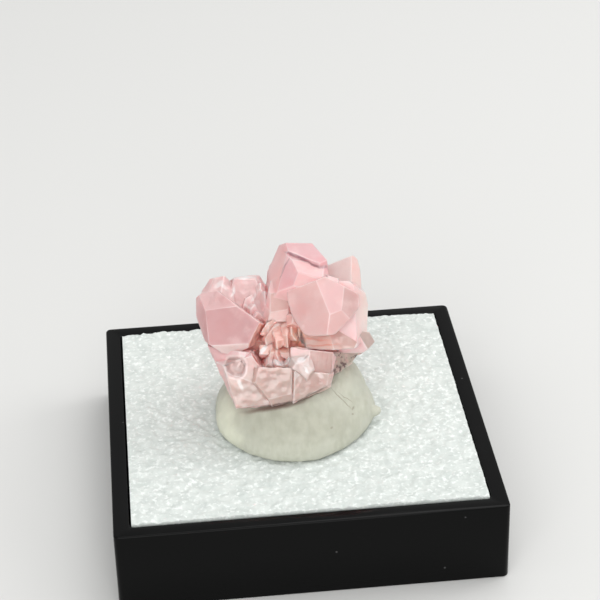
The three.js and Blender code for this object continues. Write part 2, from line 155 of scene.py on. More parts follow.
bpy.ops.object.select_all(action="DESELECT")
bpy.ops.mesh.primitive_grid_add(
    x_subdivisions=FOAM_STEPS, y_subdivisions=FOAM_STEPS, size=foam_width, location=(0, 0, high.z))
foam = bpy.context.object
foam.name = "white_foam"
bpy.ops.object.transform_apply(location=True, rotation=True, scale=True)
bpy.ops.object.mode_set(mode="EDIT")
bpy.ops.mesh.select_all(action="SELECT")
bpy.ops.mesh.region_to_loop()
bpy.ops.mesh.extrude_region_move(TRANSFORM_OT_translate={"value": (0, 0, low.z - high.z)})
bpy.ops.mesh.edge_face_add()
bpy.ops.mesh.select_all(action="SELECT")
bpy.ops.mesh.normals_make_consistent(inside=False)
bpy.ops.object.mode_set(mode="OBJECT")
print("foam block:", len(foam.data.polygons), "faces")

# %% The foam: raise tufts on its top
TOP_BAND = 0.1 * MM
TUFTS = (("swells", 2.6, 0.22), ("tufts", 0.75, 0.34), ("crumbs", 0.27, 0.16))  # grain and rise in mm


def lumps(name, grain, kind="CLOUDS"):
    """A solid noise for the Displace modifier, with lumps about one grain across."""
    noise = bpy.data.textures.new(name, kind)
    noise.noise_scale = grain
    return noise


top = foam.vertex_groups.new(name="top")
top.add([v.index for v in foam.data.vertices if v.co.z > high.z - TOP_BAND], 1.0, "REPLACE")
for name, grain, rise in TUFTS:
    shape_with(foam, "DISPLACE", texture=lumps(name, grain * MM), texture_coords="LOCAL", direction="Z",
               strength=rise * MM, mid_level=0.52, vertex_group="top")
pick_up(foam)
bpy.ops.object.shade_smooth_by_angle(angle=math.radians(60))
count(foam)

# %% [markdown]
# ## The mounting putty
# Mineral tack is kneaded between the fingers and pressed down, so the pad is a low dome with a soft foot,
# faint drag lines and no sharp edge. The solid already has the pad's outline and the hollow that the crystals
# sit in, so the piece starts as a copy of it, with its loose triangles joined. Rebuilding its surface from
# small even cells and smoothing it gives a skin that noise can knead.

# %% The putty: an even skin, smoothed and kneaded
PUTTY_CELL = 0.13 * MM
KNEADING = (("kneading", 2.4, 0.22), ("dents", 0.9, 0.09), ("skin", 0.3, 0.03))  # grain and rise in mm


def copy_solid(node, name, weld):
    """A copy of a solid's mesh as a new piece. Corners closer together than weld become one."""
    piece = bpy.data.objects.new(name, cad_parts[node].data.copy())
    bpy.context.scene.collection.objects.link(piece)
    pick_up(piece)
    bpy.ops.object.mode_set(mode="EDIT")
    bpy.ops.mesh.select_all(action="SELECT")
    bpy.ops.mesh.remove_doubles(threshold=weld)
    bpy.ops.object.mode_set(mode="OBJECT")
    return piece


putty = copy_solid("mounting_putty", "putty_pad", weld=0.001 * MM)
shape_with(putty, "REMESH", mode="VOXEL", voxel_size=PUTTY_CELL)
shape_with(putty, "SMOOTH", factor=0.5, iterations=10)
for name, grain, rise in KNEADING:
    shape_with(putty, "DISPLACE", texture=lumps(name, grain * MM), texture_coords="LOCAL", direction="NORMAL",
               strength=rise * MM, mid_level=0.5)
pick_up(putty)
bpy.ops.object.shade_smooth()
count(putty)

# %% [markdown]
# ## The crystal cluster
# Calcite grows flat faces that meet in crisp edges, but no real edge is perfectly sharp: a hair-thin bevel is
# what makes crystal edges glint. The copy of the solid is welded, its flat faces are made whole again, its
# edges are bevelled by a few hundredths of a millimetre, and a very faint relief keeps the faces from being
# optically flat. The front blocks, the pocket and the small crystals are rougher, so they get a deeper one.

# %% The cluster: whole faces
cluster = copy_solid("calcite_cluster", "pink_calcite", weld=0.03 * MM)
FLAT_WITHIN = math.radians(1.2)
bpy.ops.object.mode_set(mode="EDIT")
bpy.ops.mesh.select_all(action="SELECT")
bpy.ops.mesh.dissolve_limited(angle_limit=FLAT_WITHIN)
bpy.ops.object.mode_set(mode="OBJECT")
facet = cluster.data.attributes.new("facet", "FLOAT_VECTOR", "FACE")
for face in cluster.data.polygons:
    facet.data[face.index].vector = face.center
print("cluster:", len(cluster.data.polygons), "flat faces, each with its middle noted for the finish")

# %% The cluster: fine bevelled edges, noted for the finish
RIDGE_LEAST = math.radians(12)
RIDGE_BEVEL = 0.05 * MM
STRIP_WIDTH = 0.06 * MM


def pick_ridges(piece, least):
    """Selects, in edit mode, the edges that stand out, where two faces turn away from each other."""
    pick_edges(piece, lambda a, b: False)
    bpy.ops.object.mode_set(mode="OBJECT")
    sides = {}
    for face in piece.data.polygons:
        for key in face.edge_keys:
            sides.setdefault(key, []).append(face)
    for edge in piece.data.edges:
        if len(sides[edge.key]) == 2:
            one, other = sides[edge.key]
            turned = one.normal.angle(other.normal, 0) > least
            edge.select = turned and one.normal.dot(other.center - one.center) < 0
    bpy.ops.object.mode_set(mode="EDIT")


bpy.ops.object.mode_set(mode="EDIT")
pick_ridges(cluster, RIDGE_LEAST)
bpy.ops.mesh.bevel(offset=RIDGE_BEVEL, segments=2, affect="EDGES", clamp_overlap=False)
bpy.ops.object.mode_set(mode="OBJECT")
ridge = cluster.data.color_attributes.new("ridge", "FLOAT_COLOR", "CORNER")
corners = cluster.data.vertices
for face in cluster.data.polygons:
    # Blender also selects a large face when all its edges are picked, so only the narrow strips count.
    around = sum((corners[a].co - corners[b].co).length for a, b in face.edge_keys)
    strip = face.select and face.area < STRIP_WIDTH * around
    for corner in face.loop_indices:
        ridge.data[corner].color = (1, 1, 1, 1) if strip else (0, 0, 0, 1)
shape_with(cluster, "TRIANGULATE")
count(cluster)

# %% The cluster: cut long edges down and raise a faint growth relief
GRAIN_EDGE = 0.2 * MM
HALVINGS = 6
GROWTH_GRAIN, GROWTH_RISE = 1.1 * MM, 0.03 * MM
bpy.ops.object.mode_set(mode="EDIT")
for _ in range(HALVINGS):
    pick_edges(cluster, lambda a, b: (a - b).length > GRAIN_EDGE)
    bpy.ops.mesh.subdivide(number_cuts=1, quadcorner="INNERVERT")
bpy.ops.mesh.select_all(action="SELECT")
bpy.ops.mesh.quads_convert_to_tris()
bpy.ops.object.mode_set(mode="OBJECT")
shape_with(cluster, "DISPLACE", texture=lumps("growth", GROWTH_GRAIN), texture_coords="LOCAL",
           direction="NORMAL", strength=GROWTH_RISE, mid_level=0.5)
count(cluster)

# %% The cluster: a face-on layout, and where the crystals are rough
FACE_PLACE = Vector((-0.51, 0.5, 15.07)) * MM
FACE_TURN, FACE_RISE, FACE_LEAN = math.radians(-4.5), math.radians(31.55), math.radians(-1.9)


def face_to_viewer(turn, rise, lean):
    """The rotation that stands a face-on layout up, tips it back and leans it."""
    return (Matrix.Rotation(turn, 3, "Z") @ Matrix.Rotation(math.pi / 2 - rise, 3, "X")
            @ Matrix.Rotation(lean, 3, "Z"))


face_turned = face_to_viewer(FACE_TURN, FACE_RISE, FACE_LEAN)
lie_face_on = (Matrix.Translation(FACE_PLACE) @ face_turned.to_4x4()).inverted()
ROUGH_PLACES = (
    # centre, half sizes and roughness, in the face-on layout's millimetres
    ((0.2, -4.6, 2.0), (6.2, 2.6, 4.5), 1.0),  # front blocks
    ((-0.6, -0.8, 1.0), (2.6, 2.1, 3.0), 0.9),  # pocket
    ((-3.4, 3.2, -0.6), (2.6, 1.8, 2.2), 0.6),  # glassy crystals at the upper left
    ((4.2, -1.4, 1.2), (3.2, 0.9, 2.6), 0.5),  # ledge and stub
)
ROUGH_END, ROUGH_FADE = 1.15, 0.3  # where the roughness ends and how far it fades, in half sizes
HILLOCK_GRAIN, HILLOCK_RISE = 0.75 * MM, 0.1 * MM
CHIP_GRAIN, CHIP_RISE = 0.4 * MM, 0.03 * MM
rough = cluster.vertex_groups.new(name="rough")
for corner in cluster.data.vertices:
    spot = lie_face_on @ corner.co / MM
    weight = 0.0
    for centre, half, share in ROUGH_PLACES:
        away = max(abs(spot[i] - centre[i]) / half[i] for i in range(3))
        weight = max(weight, share * min(1.0, max(0.0, (ROUGH_END - away) / ROUGH_FADE)))
    rough.add([corner.index], weight, "REPLACE")
hillocks = lumps("hillocks", HILLOCK_GRAIN, "VORONOI")
hillocks.distance_metric = "MANHATTAN"
shape_with(cluster, "DISPLACE", texture=hillocks, texture_coords="LOCAL", direction="NORMAL",
           strength=HILLOCK_RISE, mid_level=0.45, vertex_group="rough")
shape_with(cluster, "DISPLACE", texture=lumps("chips", CHIP_GRAIN), texture_coords="LOCAL",
           direction="NORMAL", strength=CHIP_RISE, mid_level=0.5, vertex_group="rough")
pick_up(cluster)
bpy.ops.object.shade_smooth_by_angle(angle=math.radians(20))
print("rough places:", len(ROUGH_PLACES))
count(cluster)

# %% [markdown]
# ## Materials: small tools for wiring nodes
# Every finish below is wired from noise in the piece's own coordinates, so it stays on the piece from any
# side. One helper adds a node and sets its inputs by name. A value can be a number or another node's output.

# %% Helpers for wiring nodes
def add(tree, kind, settings=None, **inputs):
    """Adds a node with its settings and inputs. In a name, an underscore is a space, and i3 is input 3."""
    node = tree.nodes.new(kind)
    for name, value in (settings or {}).items():
        setattr(node, name, value)
    for name, value in inputs.items():
        found = node.inputs[int(name[1:])] if name[1:].isdigit() else node.inputs[name.replace("_", " ")]
        if isinstance(value, bpy.types.NodeSocket):
            tree.links.new(value, found)
        else:
            found.default_value = value
    return node


def new_finish(name):
    """A new material with its node tree and its shader."""
    finish = bpy.data.materials.new(name)
    finish.use_nodes = True
    tree = finish.node_tree
    return finish, tree, tree.nodes["Principled BSDF"]


def mix_colours(tree, share, first, second, blend="MIX"):
    """Goes from a first colour to a second by a share."""
    settings = {"data_type": "RGBA", "blend_type": blend}
    return add(tree, "ShaderNodeMix", settings, i0=share, i6=first, i7=second).outputs[2]


def mix_values(tree, share, first, second):
    """Goes from a first number to a second by a share."""
    return add(tree, "ShaderNodeMix", {"data_type": "FLOAT"}, i0=share, i2=first, i3=second).outputs[0]


def rgb(red, green, blue):
    """A colour given as it looks on a screen, 0 to 255, in the light values that shaders use."""
    to_light = lambda c: c / 12.92 if c <= 0.04045 else ((c + 0.055) / 1.055) ** 2.4
    return (*(to_light(c / 255) for c in (red, green, blue)), 1)


# %% [markdown]
# ## Shared effects
# Mottling, specks and single patches turn up on more than one finish, so each is a node group with named
# inputs: how big, how strong, where. They read the piece's own coordinates. The patch reads them in the
# face-on layout, since that is how one looks at the specimen to say where a stain or a window is. On the
# crystals it can snap to whole faces, so that one face has one colour.

# %% Mottle: soft patches of light and dark
FLOAT, VECTOR = "NodeSocketFloat", "NodeSocketVector"


def new_group(name, inputs):
    """A node group with these inputs and a mask to put out."""
    group = bpy.data.node_groups.new(name, "ShaderNodeTree")
    for socket, kind, value in inputs:
        made = group.interface.new_socket(socket, in_out="INPUT", socket_type=kind)
        made.default_value = value
    group.interface.new_socket("Mask", in_out="OUTPUT", socket_type=FLOAT)
    return group, group.nodes.new("NodeGroupInput").outputs, group.nodes.new("NodeGroupOutput").inputs


def vector_maths(tree, operation, first, second):
    """One vector with another, part by part."""
    return add(tree, "ShaderNodeVectorMath", {"operation": operation}, i0=first, i1=second).outputs[0]


mottle, given, put = new_group("mottle", (
    ("Grain", FLOAT, 0.001), ("Low", FLOAT, 0.35), ("High", FLOAT, 0.65), ("Stretch", VECTOR, (1, 1, 1))))
place = add(mottle, "ShaderNodeTexCoord").outputs["Object"]
stretched = vector_maths(mottle, "MULTIPLY", place, given["Stretch"])
grains = vector_maths(mottle, "DIVIDE", stretched, given["Grain"])
noise = add(mottle, "ShaderNodeTexNoise", Vector=grains, Scale=1.0, Detail=4.0)
mask = add(mottle, "ShaderNodeMapRange", {"interpolation_type": "SMOOTHSTEP"},
           Value=noise.outputs[0], From_Min=given["Low"], From_Max=given["High"])
mottle.links.new(mask.outputs[0], put["Mask"])
print("mottle:", len(mottle.nodes), "nodes")

# %% Specks: scattered small dots
def maths(tree, operation, first, second):
    """One number with another."""
    return add(tree, "ShaderNodeMath", {"operation": operation}, i0=first, i1=second).outputs[0]


specks, given, put = new_group("specks", (
    ("Spacing", FLOAT, 0.001), ("Size", FLOAT, 0.15), ("Share", FLOAT, 0.3)))
place = add(specks, "ShaderNodeTexCoord").outputs["Object"]
cells = vector_maths(specks, "DIVIDE", place, given["Spacing"])
dots = add(specks, "ShaderNodeTexVoronoi", Vector=cells, Scale=1.0)
near = maths(specks, "LESS_THAN", dots.outputs["Distance"], given["Size"])
hue = add(specks, "ShaderNodeSeparateColor", i0=dots.outputs["Color"])
chosen = maths(specks, "LESS_THAN", hue.outputs[0], given["Share"])
specks.links.new(maths(specks, "MULTIPLY", near, chosen), put["Mask"])
print("specks:", len(specks.nodes), "nodes")

# %% Zone: one soft-edged patch, laid out face on
FACE_TILT = face_turned.to_euler("XYZ")

zone, given, put = new_group("zone", (
    ("Place", VECTOR, (0, 0, 0)), ("Size", VECTOR, (1, 1, 1)), ("Turn", FLOAT, 0.0), ("Soft", FLOAT, 0.3),
    ("Wobble", FLOAT, 1.0), ("Snap", FLOAT, 0.0)))
place = add(zone, "ShaderNodeTexCoord").outputs["Object"]
middle = add(zone, "ShaderNodeAttribute", {"attribute_name": "facet"}).outputs["Vector"]
snapped = add(zone, "ShaderNodeMix", {"data_type": "VECTOR"},
              i0=given["Snap"], i4=place, i5=middle).outputs[1]
face_on = add(zone, "ShaderNodeMapping", {"vector_type": "TEXTURE"}, Vector=snapped, Location=FACE_PLACE,
              Rotation=FACE_TILT, Scale=(MM, MM, MM)).outputs[0]
wobble = add(zone, "ShaderNodeTexNoise", Vector=face_on, Scale=0.9, Detail=3.0).outputs["Color"]
centred = vector_maths(zone, "SUBTRACT", wobble, (0.5, 0.5, 0.5))
moved = add(zone, "ShaderNodeVectorMath", {"operation": "MULTIPLY_ADD"}, i0=centred, i1=given["Wobble"],
            i2=face_on).outputs[0]
away = vector_maths(zone, "SUBTRACT", moved, given["Place"])
level = add(zone, "ShaderNodeVectorRotate", {"rotation_type": "Z_AXIS", "invert": True}, Vector=away,
            Angle=given["Turn"]).outputs[0]
scaled = vector_maths(zone, "DIVIDE", level, given["Size"])
far = add(zone, "ShaderNodeVectorMath", {"operation": "LENGTH"}, i0=scaled).outputs["Value"]
inner = maths(zone, "SUBTRACT", 1.0, given["Soft"])
outer = maths(zone, "ADD", 1.0, given["Soft"])
mask = add(zone, "ShaderNodeMapRange", {"interpolation_type": "SMOOTHSTEP"}, Value=far, From_Min=inner,
           From_Max=outer, To_Min=1.0, To_Max=0.0)
zone.links.new(mask.outputs[0], put["Mask"])
print("zone:", len(zone.nodes), "nodes")

# %% [markdown]
# ## Black polystyrene
# The box is glossy and almost pure black. What shows that it has been handled is in the gloss: faint dull
# smears, and a few specks of dust from the foam. So the colour hardly changes, and the roughness does.

# %% The black plastic
def use(tree, group, **inputs):
    """Places a shared effect in a finish and gives back its mask."""
    node = tree.nodes.new("ShaderNodeGroup")
    node.node_tree = group
    for name, value in inputs.items():
        node.inputs[name].default_value = value
    return node.outputs["Mask"]


def set_shader(shader, **values):
    """Sets the shader's own inputs. An underscore in a name stands for a space."""
    for name, value in values.items():
        shader.inputs[name.replace("_", " ")].default_value = value


def give(piece, finish):
    """Puts a finish on a piece in place of any that its copied mesh brought along."""
    piece.data.materials.clear()
    piece.data.materials.append(finish)
    print(finish.name, "on", piece.name)


BLACK, DUST = (0.0035, 0.0036, 0.0036, 1), (0.05, 0.05, 0.05, 1)
plastic, tree, shader = new_finish("black_plastic")
smears = use(tree, mottle, Grain=4 * MM, Low=0.4, High=0.75)
dust = use(tree, specks, Spacing=1.5 * MM, Size=0.06, Share=0.22)
tree.links.new(mix_colours(tree, dust, BLACK, DUST), shader.inputs["Base Color"])
gloss = add(tree, "ShaderNodeMapRange", Value=smears, To_Min=0.09, To_Max=0.2)
tree.links.new(gloss.outputs[0], shader.inputs["Roughness"])
set_shader(shader, IOR=1.5, Specular_IOR_Level=0.08)
give(box, plastic)

# %% [markdown]
# ## Foam
# The foam is white with a cool cast. Its tufts let light through, so the hollows stay bright: a little
# subsurface scattering does that. The mottling makes some tufts whiter than others.

# %% The foam's white
white, tree, shader = new_finish("white_foam")
patches = use(tree, mottle, Grain=1.2 * MM, Low=0.3, High=0.7)
tips = use(tree, mottle, Grain=0.35 * MM, Low=0.5, High=0.7)
ground = mix_colours(tree, patches, rgb(193, 199, 195), rgb(206, 211, 207))
tree.links.new(mix_colours(tree, tips, ground, rgb(225, 229, 226)), shader.inputs["Base Color"])
set_shader(shader, Roughness=0.95, Specular_IOR_Level=0.2, Subsurface_Weight=0.35,
           Subsurface_Radius=(1, 1, 1), Subsurface_Scale=0.5 * MM)
give(foam, white)

# %% [markdown]
# ## Putty
# Mineral tack is a grey-green off-white with a dull waxy surface. Kneading leaves fine drag lines, paler
# streaks and a few dark specks of dirt. The lines are mottling stretched along one direction, once as colour
# and once as height. The middle is darker with painted shadow of the crystals, with grey smudges in it; the
# left rim is paler with painted light; a brown line of painted contact shadow lies where the crystals were
# pressed in, and a few creases in painted shade and some dirt marks are on the right.

# %% The putty's off-white
tack, tree, shader = new_finish("mineral_tack")
clouds = use(tree, mottle, Grain=2.5 * MM, Low=0.35, High=0.65)
drag = use(tree, mottle, Grain=0.4 * MM, Low=0.3, High=0.75, Stretch=(1, 0.45, 0.45))
dirt = use(tree, specks, Spacing=1.6 * MM, Size=0.055, Share=0.12)
ground = mix_colours(tree, clouds, rgb(173, 174, 158), rgb(183, 184, 170))
lined_and_lit = mix_colours(tree, drag, ground, rgb(187, 188, 174))
# painted light: the left rim is made paler where the putty catches the light
lit_rim = use(tree, zone, Place=(-5.4, -7.2, 2.0), Size=(1.5, 2.8, 4.0), Turn=math.radians(22), Soft=0.5)
lined_and_lit = mix_colours(tree, lit_rim, lined_and_lit, rgb(212, 213, 194))
# painted shadow of the crystals on the putty's middle, with grey smudges of dirt in it
smudges = use(tree, mottle, Grain=0.9 * MM, Low=0.3, High=0.7, Stretch=(1, 0.6, 0.6))
cluster_shadow = use(tree, zone, Place=(0.9, -7.7, 2.6), Size=(4.4, 1.5, 3.0), Soft=0.6)
smudges_in_shadow = maths(tree, "MULTIPLY", smudges, cluster_shadow)
kneaded_and_shaded = mix_colours(tree, cluster_shadow, lined_and_lit, rgb(173, 173, 158))
kneaded_and_shaded = mix_colours(tree, smudges_in_shadow, kneaded_and_shaded, rgb(160, 160, 145))
print("putty's ground:", len(tree.nodes), "nodes")

# %% The putty: painted contact shadow, crease shade and dirt marks
# grey crease lines in painted shade, with no relief under them, and a few small dirt marks
CREASE_SHADE_AND_DIRT = (
    # place, half length, half width and turn in degrees, in the face-on layout's millimetres
    ((4.7, -5.75, 0.8), 1.1, 0.04, -45),
    ((5.05, -5.65, 0.8), 0.7, 0.03, -41),
    ((5.7, -6.55, 0.8), 0.16, 0.09, 60),
    ((5.72, -7.05, 0.8), 0.1, 0.08, 20),
    ((3.85, -8.0, 2.0), 0.09, 0.08, 0),
)
CONTACT_SHADOW = (
    # the same measures, for painted contact shadow where the crystals were pressed in
    ((-0.9, -6.4, 2.4), 2.1, 0.2, 10),
    ((2.5, -5.2, 1.8), 1.6, 0.2, 29),
)
MARK_DEPTH = 3.0
# brown for the painted contact shadow, grey for the crease shade and the dirt marks
SHADOW_BROWN, GREY = rgb(112, 92, 82), rgb(150, 147, 132)
for marks, colour, soft, wobble in ((CONTACT_SHADOW, SHADOW_BROWN, 0.7, 0.3), (CREASE_SHADE_AND_DIRT, GREY, 0.6, 0.5)):
    for where, half_length, half_width, turn in marks:
        mask = use(tree, zone, Place=where, Size=(half_length, half_width, MARK_DEPTH),
                   Turn=math.radians(turn), Soft=soft, Wobble=wobble)
        kneaded_and_shaded = mix_colours(tree, mask, kneaded_and_shaded, colour)
tree.links.new(mix_colours(tree, dirt, kneaded_and_shaded, rgb(70, 66, 58)), shader.inputs["Base Color"])
set_shader(shader, Roughness=0.62, Specular_IOR_Level=0.35, Subsurface_Weight=0.2,
           Subsurface_Radius=(1, 1, 0.8), Subsurface_Scale=0.6 * MM)
bump = add(tree, "ShaderNodeBump", Height=drag, Strength=0.3, Distance=0.04 * MM)
tree.links.new(bump.outputs[0], shader.inputs["Normal"])
give(putty, tack)

# %% [markdown]
# ## Calcite
# The crystals are clear to milky, and the cobalt in them makes them pink: deeper where the crystal is thick,
# almost white at thin edges. Light passes in, loses some green on its way, and comes out pink, so part of the
# pink is an absorption inside the body. The milkiness is scattering under the faces. No two crystals have the
# same pink, so zones set each one's tone by whole faces; a few of them also paint light or shade on a face.
# Thin streaks draw seams, frosted bands, the rings of a round chip, painted shade under the peak's overhang
# and along the lower edge, and white flashes and glints, which are painted highlights.

# %% The crystals: a tone for each crystal, and painted light or shade on a few faces
pink, tree, shader = new_finish("pink_calcite")
veils = use(tree, mottle, Grain=1.8 * MM, Low=0.3, High=0.75)
body = mix_colours(tree, veils, rgb(255, 214, 214), rgb(255, 228, 227))
ROCK_PLACE, ROCK_SIZE = (5.0, -2.9, -0.4), (1.6, 1.2, 2.0)
ZONES = (
    # colour, place, half sizes and softness, in the face-on layout's millimetres
    (rgb(211, 171, 171), (-5.0, 0.3, 1.8), (2.6, 2.4, 2.4), 0.25),  # great left crystal
    (rgb(214, 179, 178), (-6.0, 2.4, 1.2), (1.1, 0.75, 1.0), 0.25),  # its upper face, paler with painted light from above
    (rgb(232, 217, 213), (-4.7, -1.6, 2.6), (1.5, 0.35, 0.8), 0.3),  # pale bevel under it
    (rgb(230, 198, 194), (3.5, 1.9, 2.2), (2.6, 2.3, 2.2), 0.25),  # great right crystal
    (rgb(234, 201, 200), (3.95, 2.45, 2.5), (0.95, 0.95, 1.6), 0.3),  # the paler window on it
    (rgb(211, 181, 177), (5.4, 2.4, 1.8), (0.55, 1.0, 1.4), 0.3),  # the darker face right of the window
    (rgb(235, 195, 198), (1.5, 5.6, -0.4), (2.4, 2.4, 2.6), 0.25),  # peak
    (rgb(255, 204, 201), (-0.85, 4.4, 0.0), (0.55, 1.4, 1.6), 0.3),  # its left face
    (rgb(251, 203, 202), (1.7, 4.3, 1.3), (1.0, 0.5, 0.7), 0.3),  # the bright face under the peak: painted light
    (rgb(255, 208, 208), (2.0, 5.05, 0.8), (1.0, 0.5, 0.8), 0.3),  # paler face above it, under the overhang
    (rgb(229, 197, 195), (-5.3, 4.0, -1.2), (2.0, 1.2, 1.8), 0.3),  # glassy crystals at the upper left
    (rgb(236, 206, 204), (-2.9, 3.0, -0.6), (1.3, 1.9, 1.6), 0.3),  # their right half
    (rgb(188, 158, 162), (-3.2, 4.0, -0.9), (0.6, 0.28, 0.6), 0.4),  # grey window in them
    (rgb(230, 219, 215), (5.3, 5.2, -2.0), (1.7, 1.9, 1.8), 0.3),  # pale crystal at the upper right
    (rgb(245, 240, 231), (6.8, 1.8, 0.2), (0.75, 2.2, 1.6), 0.4),  # pale rim beside the great crystal, its white partly a painted highlight
    (rgb(190, 175, 166), (6.9, -0.9, 0.6), (0.9, 0.8, 1.2), 0.3),  # stub
    (rgb(239, 191, 176), (-0.6, -0.7, 1.2), (2.2, 2.0, 2.2), 0.35),  # salmon pocket
    (rgb(235, 207, 195), (3.0, -0.9, 2.2), (2.4, 0.55, 1.4), 0.4),  # salmon ledge
    (rgb(216, 183, 173), (4.7, -1.0, 2.0), (0.9, 0.5, 1.3), 0.3),  # its right end
    (rgb(250, 196, 168), (1.25, -0.7, 1.4), (0.45, 0.9, 1.6), 0.5),  # amber glow between pocket and ledge
    (rgb(215, 193, 183), (0.0, -4.6, 3.0), (5.4, 2.1, 2.8), 0.3),  # pale front blocks
    (rgb(248, 196, 178), (-2.4, -5.0, 3.0), (0.4, 0.9, 0.8), 0.5),  # salmon stain in them
    (rgb(223, 211, 205), (1.4, -2.7, 3.4), (0.95, 1.0, 1.2), 0.3),  # white tip
    (rgb(200, 192, 177), ROCK_PLACE, ROCK_SIZE, 0.25),  # grey rock
    (rgb(211, 180, 171), (3.2, -2.6, 2.6), (0.85, 0.75, 0.8), 0.3),  # shaded block beside the white tip
    (rgb(236, 206, 199), (6.15, 5.2, -2.0), (0.5, 1.2, 1.2), 0.3),  # the upper right crystal's right face
    (rgb(220, 185, 177), (-0.5, 1.7, 0.8), (1.1, 1.3, 1.0), 0.3),  # column under the peak
)
SNAP = 0.75  # how far a zone goes by whole faces
for colour, where, reach, soft in ZONES:
    mask = use(tree, zone, Place=where, Size=reach, Soft=soft, Snap=SNAP)
    body = mix_colours(tree, mask, body, colour)
print("crystals:", len(ZONES), "zones")

# %% The crystals: streaks, seams, painted shade and painted flashes
STREAKS = (
    # colour, place, half length, half width and turn in degrees
    (rgb(172, 132, 142), (1.1, 6.1, 0.0), 1.15, 0.13, -24),  # grey band under the peak's top: frost, and painted shade under the overhang
    (rgb(176, 138, 146), (2.55, 5.42, 0.5), 0.5, 0.12, -20),  # its right end
    (rgb(190, 150, 158), (3.2, 5.3, 0.3), 0.35, 0.16, 20),  # frost beside it, with painted shade under the overhang
    (rgb(190, 150, 156), (0.15, 5.6, -0.2), 0.55, 0.07, 68),  # hatching on the peak's left face
    (rgb(196, 158, 162), (-0.15, 5.0, -0.2), 0.7, 0.07, 66),  # more of it
    (rgb(248, 234, 233), (-5.6, 3.85, -0.8), 0.5, 0.2, 38),  # white glints in the glassy crystals
    (rgb(250, 238, 237), (-5.15, 3.6, -0.8), 0.42, 0.14, -34),  # a second glint
    (rgb(255, 246, 245), (-3.4, 4.42, -1.0), 0.9, 0.13, 3),  # pale upper edge of the second glassy crystal
    (rgb(255, 246, 245), (-4.4, 3.3, -0.4), 0.5, 0.1, 75),  # its pale left side
    (rgb(255, 248, 246), (-2.6, 2.8, 0.2), 0.45, 0.12, 60),  # pale small crystals under it
    (rgb(255, 248, 246), (-3.2, 2.0, 0.6), 0.45, 0.12, -40),  # more of them
    (rgb(234, 180, 162), (2.2, -0.75, 2.2), 1.3, 0.07, -6),  # salmon seams in the ledge
    (rgb(230, 172, 152), (3.0, -1.25, 2.2), 1.5, 0.06, 2),  # a second seam
    (rgb(255, 252, 250), (-0.6, -2.7, 2.4), 0.6, 0.22, -12),  # white flashes at the pocket's lip
    (rgb(255, 252, 250), (-1.75, -1.6, 2.0), 0.45, 0.2, 62),  # one at its left
    (rgb(255, 250, 246), (0.25, -2.5, 2.2), 0.35, 0.16, 40),  # one at its right
    (rgb(255, 255, 254), (1.3, -2.45, 3.4), 0.4, 0.26, 20),  # white flashes on the white tip
    (rgb(255, 254, 252), (1.7, -3.3, 3.4), 0.36, 0.13, -60),  # a second one, lower
    (rgb(255, 244, 240), (2.95, -3.85, 2.6), 0.3, 0.16, -35),  # a flash on the right block
    (rgb(204, 164, 155), (2.7, -2.5, 2.6), 0.55, 0.05, 84),  # striations on the block beside the tip
    (rgb(206, 168, 159), (3.1, -2.4, 2.6), 0.6, 0.05, 86),  # more of them
    (rgb(202, 162, 153), (3.5, -2.6, 2.6), 0.55, 0.06, 82),  # and the last
    (rgb(255, 242, 238), (-3.7, -4.5, 2.8), 0.55, 0.16, -72),  # a flash under the chip
    (rgb(205, 120, 105), (-2.55, -2.3, 2.0), 0.6, 0.06, -55),  # red seams at the pocket's left
    (rgb(200, 120, 100), (-1.9, -2.6, 2.0), 0.5, 0.06, -60),  # a second seam beside it
    (rgb(246, 228, 224), (-4.05, -3.1, 2.6), 1.08, 1.08, 0),  # the chip's pale rim
    (rgb(198, 172, 167), (-4.05, -3.1, 2.6), 0.9, 0.9, 0),  # its dish
    (rgb(229, 205, 199), (-4.0, -3.05, 2.6), 0.62, 0.55, 20),  # a pale ring in it
    (rgb(206, 180, 174), (-4.0, -3.05, 2.6), 0.44, 0.38, 20),  # the dish inside the ring
    (rgb(246, 230, 226), (-3.8, -2.85, 2.6), 0.3, 0.1, 50),  # its pale middle
    (rgb(120, 92, 84), (-0.8, -6.2, 2.0), 1.9, 0.1, 11),  # brown crust along the lower edge, darkened further by painted shadow
    (rgb(116, 90, 82), (2.3, -5.2, 1.6), 1.6, 0.12, 25),  # its right part
    (rgb(112, 92, 86), (4.2, -3.45, -0.9), 0.7, 0.3, 40),  # painted shade on the rock's lower part beside the front blocks
)
STREAK_DEPTH = 2.4
STREAK_EDGE = 0.08  # how far a streak fades at its edge, in the layout's millimetres
for colour, where, half_length, half_width, turn in STREAKS:
    mask = use(tree, zone, Place=where, Size=(half_length, half_width, STREAK_DEPTH), Turn=math.radians(turn),
               Soft=min(0.5, STREAK_EDGE / half_width), Wobble=0.45)
    body = mix_colours(tree, mask, body, colour)
print("crystals:", len(STREAKS), "streaks")

# %% [markdown]
# ## Calcite: grain, clouds and edges
# Over the zones lie the things that are everywhere: dark and pale grains in the rock, deeper and milkier
# clouds inside the crystals, a painted glint of its own strength on every face, and pale edges, partly wear
# and partly painted highlight. The edges were noted as an attribute when they were bevelled, and each
# face's middle gives its own chance value.

